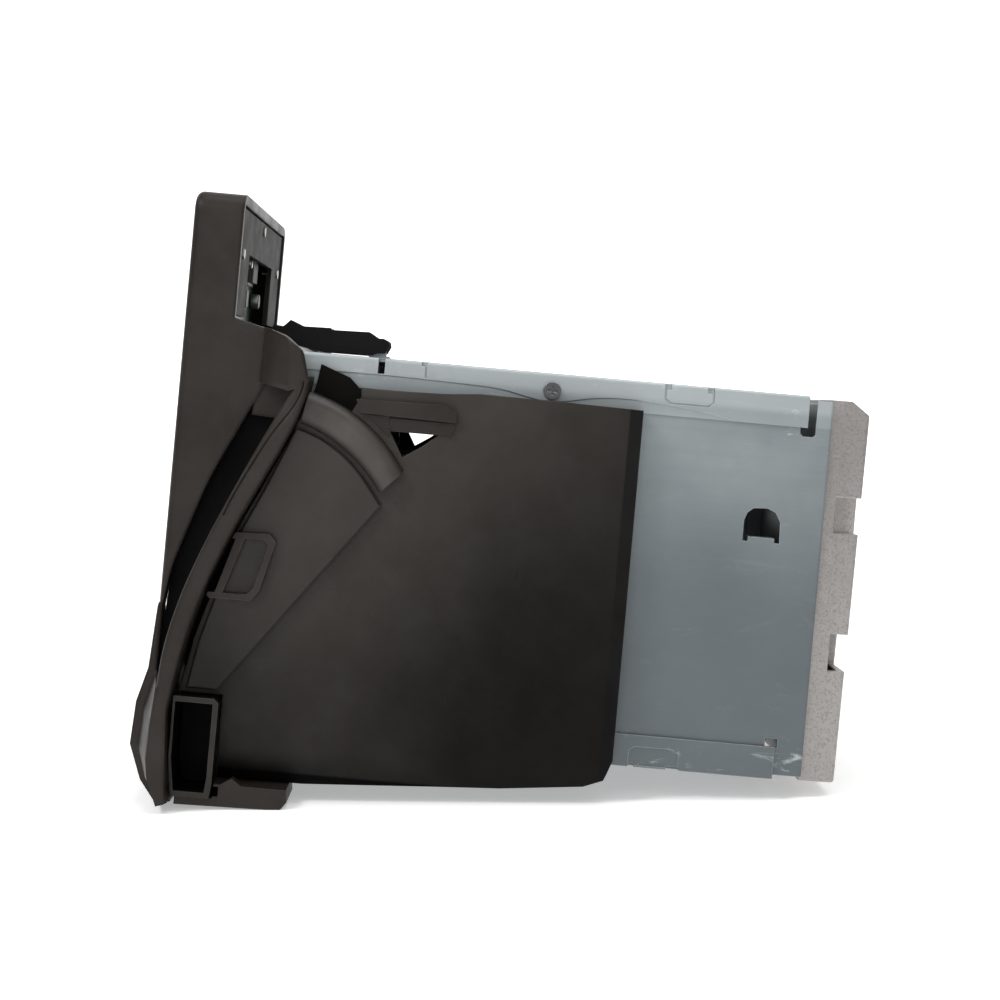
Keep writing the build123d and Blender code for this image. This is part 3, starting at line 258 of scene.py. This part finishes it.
def zinc_sheet(name):
    """Zinc-plated sheet: blue-grey, faint rolling lines and spangle, dried grease along the folds."""
    s = Shader(name)
    rolled = s.noise(420.0, 3.0, 0.6, s.stretched((0.05, 1.0, 1.0)))
    cloud = s.noise(14.0, 4.0, 0.6)
    color = s.mix(s.remap(cloud, 0.3, 0.7), rgb(128, 136, 139), rgb(146, 153, 155))
    color = s.mix(s.remap(rolled, 0.35, 0.65, 0.0, 0.10), color, rgb(160, 168, 170))
    spangle = s.cells(260.0).outputs["Distance"]
    color = s.mix(s.remap(spangle, 0.0, 0.6, 0.0, 0.07), color, rgb(104, 113, 117))
    speck = s.cells(520.0).outputs["Distance"]
    dotted = s.math("MULTIPLY", s.remap(speck, 0.09, 0.03), s.remap(s.noise(45.0, 3.0), 0.50, 0.62))
    color = s.mix(s.math("MULTIPLY", dotted, 0.35), color, rgb(196, 200, 200))
    marks = s.noise(95.0, 8.0, 0.74, s.stretched((0.7, 1.0, 2.2)), distortion=0.9)
    streaks = s.remap(marks, 0.56, 0.70)
    height = s.axis("Z")
    # The colour is darker towards the bottom, most over the lower half and least just under the cover, and a
    # highlight is painted on the cover's fold.
    lower_darkening = s.remap(height, 40.0 * MM, 90.0 * MM, 0.62, 0.08)
    lower_darkening = s.math("ADD", lower_darkening, s.remap(s.noise(9.0, 3.0, 0.5), 0.35, 0.65, -0.10, 0.10))
    color = s.mix(lower_darkening, color, rgb(66, 74, 78))
    # Painted highlight along the cover's fold.
    bright = s.math("ADD", s.remap(height, FLANGE_LOW, FLANGE_LOW + 0.3 * MM, 0.0, 0.22),
                    s.remap(height, FLANGE_LOW + 2.4 * MM, FLANGE_LOW + 4.8 * MM, 0.0, 0.30))
    color = s.mix(bright, color, rgb(186, 192, 193))
    upper_fold = s.math("MULTIPLY", s.remap(height, FLANGE_LOW, FLANGE_LOW + 1.4 * MM),
                        s.remap(height, CHASSIS_TOP + 0.4 * MM, CHASSIS_TOP - 1.0 * MM, 0.55, 1.0))
    lower_fold = s.remap(height, 9.6 * MM, 7.2 * MM)
    greasy = s.math("MAXIMUM", s.math("MULTIPLY", upper_fold, 0.85), s.math("MULTIPLY", lower_fold, 0.75))
    corner = s.math("MULTIPLY", s.remap(s.axis("X"), 45.0 * MM, 56.0 * MM),
                    s.remap(height, 84.0 * MM, 89.0 * MM))
    greasy = s.math("MAXIMUM", greasy, corner)
    smear = s.math("MULTIPLY", streaks, s.math("ADD", s.math("MULTIPLY", greasy, 0.80), 0.05))
    color = s.mix(smear, color, rgb(206, 211, 211))
    soil = s.remap(s.noise(38.0, 6.0, 0.7), 0.58, 0.74, 0.0, 0.22)
    color = s.mix(soil, color, rgb(92, 97, 98))
    edges = s.edge_wear(0.0004)
    color = s.mix(s.math("MULTIPLY", edges, 0.50), color, rgb(198, 204, 206))
    rough = s.remap(s.noise(34.0, 5.0, 0.6), 0.3, 0.7, 0.36, 0.48)
    rough = s.math("ADD", rough, s.math("MULTIPLY", smear, 0.25))
    grain = s.bump(rolled, 0.00003, 0.35, bevel=0.0003)
    normal = s.bump(smear, 0.00012, 0.5, base=grain)
    return s.finish(color, rough, normal, metallic=0.45, specular=0.5)


def cast_metal(name):
    """Shot-blasted cast aluminium with a granular skin."""
    s = Shader(name)
    grain = s.noise(1500.0, 3.0, 0.7)
    coarse = s.noise(420.0, 4.0, 0.6)
    cloud = s.noise(18.0, 3.0, 0.5)
    color = s.mix(s.remap(cloud, 0.3, 0.7), rgb(152, 148, 145), rgb(168, 164, 161))
    color = s.mix(s.remap(grain, 0.45, 0.75, 0.0, 0.60), color, rgb(104, 101, 99))
    glint = s.cells(1300.0).outputs["Distance"]
    color = s.mix(s.remap(glint, 0.10, 0.02, 0.0, 0.35), color, rgb(226, 223, 220))
    edges = s.edge_wear(0.0006)
    color = s.mix(s.math("MULTIPLY", edges, 0.5), color, rgb(206, 203, 200))
    height = s.math("ADD", grain, s.math("MULTIPLY", coarse, 0.8))
    normal = s.bump(height, 0.00012, 0.7, bevel=0.0005)
    return s.finish(color, s.remap(coarse, 0.3, 0.7, 0.44, 0.60), normal, metallic=0.70)


def turned_steel(name, tint, roughness=0.30):
    """Plated or ground steel with fine lines."""
    s = Shader(name)
    lines = s.noise(1800.0, 2.0, 0.5, s.stretched((1.0, 0.06, 1.0)))
    stain = s.noise(90.0, 4.0)
    color = s.mix(s.remap(stain, 0.4, 0.7, 0.0, 0.35), tint, rgb(98, 96, 91))
    edges = s.edge_wear(0.0002)
    color = s.mix(s.math("MULTIPLY", edges, 0.5), color, rgb(222, 222, 218))
    normal = s.bump(lines, 0.00003, 0.4, bevel=0.0002)
    rough = s.remap(stain, 0.3, 0.7, roughness - 0.06, roughness + 0.10)
    return s.finish(color, rough, normal, metallic=0.95)


def filmed_panel(name):
    """The inset rear panel: dark grey film with cloudy stains and patches worn by rubbing."""
    s = Shader(name)
    cloud = s.noise(120.0, 6.0, 0.7)
    color = s.mix(s.remap(cloud, 0.3, 0.7), rgb(30, 28, 27), rgb(52, 49, 47))
    stain = s.noise(46.0, 5.0, 0.65, distortion=1.2)
    color = s.mix(s.remap(stain, 0.56, 0.66, 0.0, 0.45), color, rgb(20, 18, 19))
    edges = s.edge_wear(0.0004)
    color = s.mix(s.math("MULTIPLY", edges, 0.4), color, rgb(120, 117, 113))
    return s.finish(color, s.remap(cloud, 0.3, 0.7, 0.52, 0.70), s.bump(cloud, 0.00006, 0.5), specular=0.12)


def rubber(name):
    s = Shader(name)
    dust = s.noise(300.0, 4.0, 0.7)
    color = s.mix(s.remap(dust, 0.55, 0.8, 0.0, 0.5), rgb(24, 24, 25), rgb(86, 84, 80))
    return s.finish(color, 0.8, s.bump(dust, 0.0001, 0.6), specular=0.3)


def pale_plastic(name):
    s = Shader(name)
    cloud = s.noise(80.0, 4.0)
    color = s.mix(s.remap(cloud, 0.3, 0.7), rgb(216, 213, 202), rgb(198, 194, 182))
    return s.finish(color, 0.42, s.bump(s.noise(1600.0), 0.00003, 0.4, bevel=0.0003))


def solder_mask(name):
    """A printed board: green mask over copper tracks, drawn as thin cell borders."""
    s = Shader(name)
    tracks = s.cells(260.0, feature="DISTANCE_TO_EDGE").outputs["Distance"]
    color = s.mix(s.remap(tracks, 0.10, 0.04), rgb(14, 44, 32), rgb(30, 74, 50))
    pads = s.cells(420.0).outputs["Distance"]
    color = s.mix(s.remap(pads, 0.16, 0.12, 0.0, 0.8), color, rgb(150, 152, 148))
    return s.finish(color, 0.32, s.bump(tracks, 0.00004, 0.4))


def clear_plastic(name, tint, transmission=0.85, roughness=0.12):
    s = Shader(name)
    haze = s.noise(120.0, 4.0, 0.6)
    rough = s.remap(haze, 0.35, 0.7, roughness, roughness + 0.12)
    ripple = s.bump(s.noise(900.0), 0.00002, 0.3)
    return s.finish(tint, rough, ripple, **{"Transmission Weight": transmission, "IOR": 1.49})


# Heights that steer where shade and highlights are painted and where grease gathers, metres in the frame.
CHASSIS_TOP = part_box("chassis_top_cover")[1][2]
FLANGE_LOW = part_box("chassis_top_cover")[0][2]
shroud_low, shroud_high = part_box("side_shroud_right")
PAINTED_SHADE_LOW = shroud_low[2] + 0.010
PAINTED_SHADE_HIGH = shroud_high[2] + 0.014
REAR_EDGE = shroud_high[0]

LOOKS = {
    "bezel_plastic": moulded_plastic("bezel_plastic", rgb(34, 29, 26), rgb(43, 38, 34)),
    "dark_plastic": black_plastic("dark_plastic"),
    "zinc_steel": zinc_sheet("zinc_steel"),
    "cast_aluminium": cast_metal("cast_aluminium"),
    "bright_steel": turned_steel("bright_steel", rgb(150, 150, 147)),
    "rubber": rubber("rubber"),
    "white_plastic": pale_plastic("white_plastic"),
    "brass": turned_steel("brass", rgb(196, 162, 98), 0.26),
    "clear_plastic": clear_plastic("clear_plastic", rgb(205, 215, 222)),
    "circuit_board": solder_mask("circuit_board"),
}
# Distances from the centre plane: the duct's crown, the sunk corner behind the rim, the pockets' mouths.
duct_crown = abs(shroud_low[1])
duct_stand = 5.0 * MM
sunk_face = duct_crown - duct_stand - 3.4 * MM
pocket_mouth = abs(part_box("chin_pockets")[0][1]) - 0.8 * MM
shroud_plastic = moulded_plastic("shroud_plastic", rgb(36, 33, 30), rgb(52, 48, 44), roughness=0.38,
                                 painted_shade=True, hollow=sunk_face, crown=duct_crown)
OWN_LOOKS = {
    "side_shroud_right": shroud_plastic,
    "side_shroud_left": shroud_plastic,
    "side_covers": shroud_plastic,
    "throat_panel": matt_black("throat_painted_shade"),
    "fascia": moulded_plastic("fascia_plastic", rgb(34, 29, 26), rgb(43, 38, 34), soften=1.6 * MM),
    "chin_pockets": moulded_plastic("pocket_plastic", rgb(34, 30, 27), rgb(44, 40, 36), hollow=pocket_mouth),
    "fascia_screws": turned_steel("pale_steel", rgb(205, 204, 200), 0.34),
    "cover_screws": turned_steel("dark_chrome", rgb(84, 86, 90), 0.22),
    "fascia_back_panel": filmed_panel("filmed_panel"),
}
for row in frame["record"]["subparts"]:
    holder = frame["nodes"][row["node"]]
    for slot in holder.material_slots:
        slot.material = OWN_LOOKS.get(row["node"], LOOKS[row["material_slot"]])

# ------------------------------------------------------------------ parts on the indicator board
# Millimetres on the board's back: y and z of the centre, then width, height and thickness.
CHIPS = [(-24.0, -5.5, 7.0, 9.0, 1.6), (-11.0, 4.0, 10.0, 5.0, 1.6), (6.0, -5.0, 5.0, 5.0, 1.2),
         (16.0, 3.5, 11.0, 7.0, 1.8)]
LEG_PITCH = 1.3 * MM
SOLDER_GAP = 0.1 * MM
# y and z of the centre, then radius and reach.
CANS = [(-17.5, -6.5, 1.9, 2.4), (0.5, 5.0, 1.7, 2.4), (25.0, -5.0, 2.2, 2.6)]


def board_block(mesh, centre, size, slot, bevel):
    """A block with broken edges; slot picks its material."""
    placed = Matrix.Translation(centre) @ Matrix.Diagonal((*size, 1.0))
    made = bmesh.ops.create_cube(mesh, size=1.0, matrix=placed)
    faces = {face for vertex in made["verts"] for face in vertex.link_faces}
    edges = {edge for vertex in made["verts"] for edge in vertex.link_edges}
    for face in faces:
        face.material_index = slot
    if bevel:
        bmesh.ops.bevel(mesh, geom=list(edges), offset=bevel, segments=2, affect="EDGES", profile=0.5)


def board_parts():
    """Chips with legs and small can capacitors soldered to the back of the indicator board."""
    low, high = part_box("indicator_board")
    back, middle = high[0], (low[2] + high[2]) / 2
    mesh = bmesh.new()
    for y, z, wide, tall, thick in CHIPS:
        y, z, wide, tall, thick = (value * MM for value in (y, z, wide, tall, thick))
        board_block(mesh, (back + thick / 2 + SOLDER_GAP, y, middle + z), (thick, wide, tall), 0, 0.2 * MM)
        legs = int(wide / LEG_PITCH)
        for leg in range(legs):
            across = y - wide / 2 + (leg + 0.5) * wide / legs
            for side in (-1, 1):
                spot = (back + 0.35 * MM, across, middle + z + side * (tall / 2 + 0.4 * MM))
                board_block(mesh, spot, (0.6 * MM, 0.45 * MM, 1.0 * MM), 1, 0.0)
    for y, z, radius, reach in CANS:
        y, z, radius, reach = (value * MM for value in (y, z, radius, reach))
        centre = Matrix.Translation((back + reach / 2 + SOLDER_GAP, y, middle + z))
        made = bmesh.ops.create_cone(mesh, cap_ends=True, segments=32, radius1=radius, radius2=radius,
                                     depth=reach, matrix=centre @ Matrix.Rotation(math.pi / 2, 4, "Y"))
        rims = {edge for vertex in made["verts"] for edge in vertex.link_edges if len(edge.link_faces) == 2
                and any(len(face.verts) > 4 for face in edge.link_faces)}
        for face in {face for vertex in made["verts"] for face in vertex.link_faces}:
            face.material_index = 1
            face.smooth = len(face.verts) == 4
        bmesh.ops.bevel(mesh, geom=list(rims), offset=0.3 * MM, segments=2, affect="EDGES", profile=0.5)
    data = bpy.data.meshes.new("board_parts")
    mesh.to_mesh(data)
    mesh.free()
    data.materials.append(pale_epoxy)
    data.materials.append(OWN_LOOKS["fascia_screws"])
    piece = bpy.data.objects.new("board_parts", data)
    bpy.context.scene.collection.objects.link(piece)
    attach(piece, "housing")


pale_epoxy = moulded_plastic("grey_epoxy", rgb(88, 86, 84), rgb(112, 109, 106), grain=4200.0)
board_parts()

# ------------------------------------------------------------------ studio
ROLL = math.radians(5.1)
EYE = Vector((-22.67 * MM, -570.0 * MM, 92.45 * MM))
SENSOR = 36.0
SURROUND = 0.10
FLOOR_REST = Vector((-94.3, 0.0, -19.9)) * MM


def soft_box(name, spot, aim, size, power):
    """A square area light that faces a point on the object."""
    data = bpy.data.lights.new(name, "AREA")
    data.shape, data.size, data.energy = "SQUARE", size, power
    lamp = bpy.data.objects.new(name, data)
    lamp.location = spot
    lamp.rotation_euler = (Vector(aim) - Vector(spot)).to_track_quat("-Z", "Y").to_euler()
    bpy.context.scene.collection.objects.link(lamp)


def studio():
    """A dim even surround, one broad soft key from the upper left and a weak fill near the camera."""
    scene = bpy.context.scene
    world = bpy.data.worlds.new("studio")
    scene.world = world
    world.use_nodes = True
    world.node_tree.nodes["Background"].inputs["Color"].default_value = (1.0, 1.0, 1.0, 1.0)
    world.node_tree.nodes["Background"].inputs["Strength"].default_value = SURROUND
    soft_box("key", (-0.90, -0.75, 0.95), (-0.01, -0.05, 0.06), 0.45, 9.0)
    soft_box("top", (0.10, -0.15, 1.20), (0.0, 0.0, 0.05), 0.8, 7.0)
    soft_box("fill", (-0.20, -1.60, 0.80), (0.0, 0.0, 0.05), 1.4, 9.0)
    scene.view_settings.view_transform = "Standard"


def floor():
    """A pale sweep: the chin and the foot rest on it, and it curves up behind the part."""
    bend_start, bend_radius, bend_steps = 0.9, 0.8, 12
    profile = [(-2.4, 0.0), (bend_start, 0.0)]
    for step in range(1, bend_steps + 1):
        turn = step * math.pi / (2 * bend_steps)
        profile.append((bend_start + bend_radius * math.sin(turn), bend_radius - bend_radius * math.cos(turn)))
    profile.append((1.7, 3.2))
    vertices = [(x, y, z) for y, z in profile for x in (-3.0, 3.0)]
    faces = [(2 * i, 2 * i + 1, 2 * i + 3, 2 * i + 2) for i in range(len(profile) - 1)]
    mesh = bpy.data.meshes.new("floor")
    mesh.from_pydata(vertices, [], faces)
    for face in mesh.polygons:
        face.use_smooth = True
    ground = bpy.data.objects.new("floor", mesh)
    ground.location = FLOOR_REST
    ground.rotation_euler = Euler((0.0, -ROLL, 0.0))
    bpy.context.scene.collection.objects.link(ground)
    s = Shader("floor")
    s.finish((0.92, 0.92, 0.92, 1.0), 0.9, specular=0.1, **{"Emission Color": (1.0, 1.0, 1.0, 1.0)})
    s.link(s.remap(s.axis("Y"), 0.25, 1.3, 0.36, 0.85), s.bsdf.inputs["Emission Strength"])
    mesh.materials.append(s.material)


def camera():
    """The photograph's view: near the front corner, a little above the part, rolled with the floor."""
    data = bpy.data.cameras.new("camera")
    data.sensor_width = SENSOR
    data.lens = SENSOR * 1.99
    data.shift_x, data.shift_y = 0.030, -0.105
    data.clip_start, data.clip_end = 0.01, 20.0
    eye = bpy.data.objects.new("camera", data)
    eye.location = EYE
    eye.rotation_euler = Euler((math.radians(90.0), -ROLL, 0.0))
    bpy.context.scene.collection.objects.link(eye)
    bpy.context.scene.camera = eye


studio()
floor()
camera()
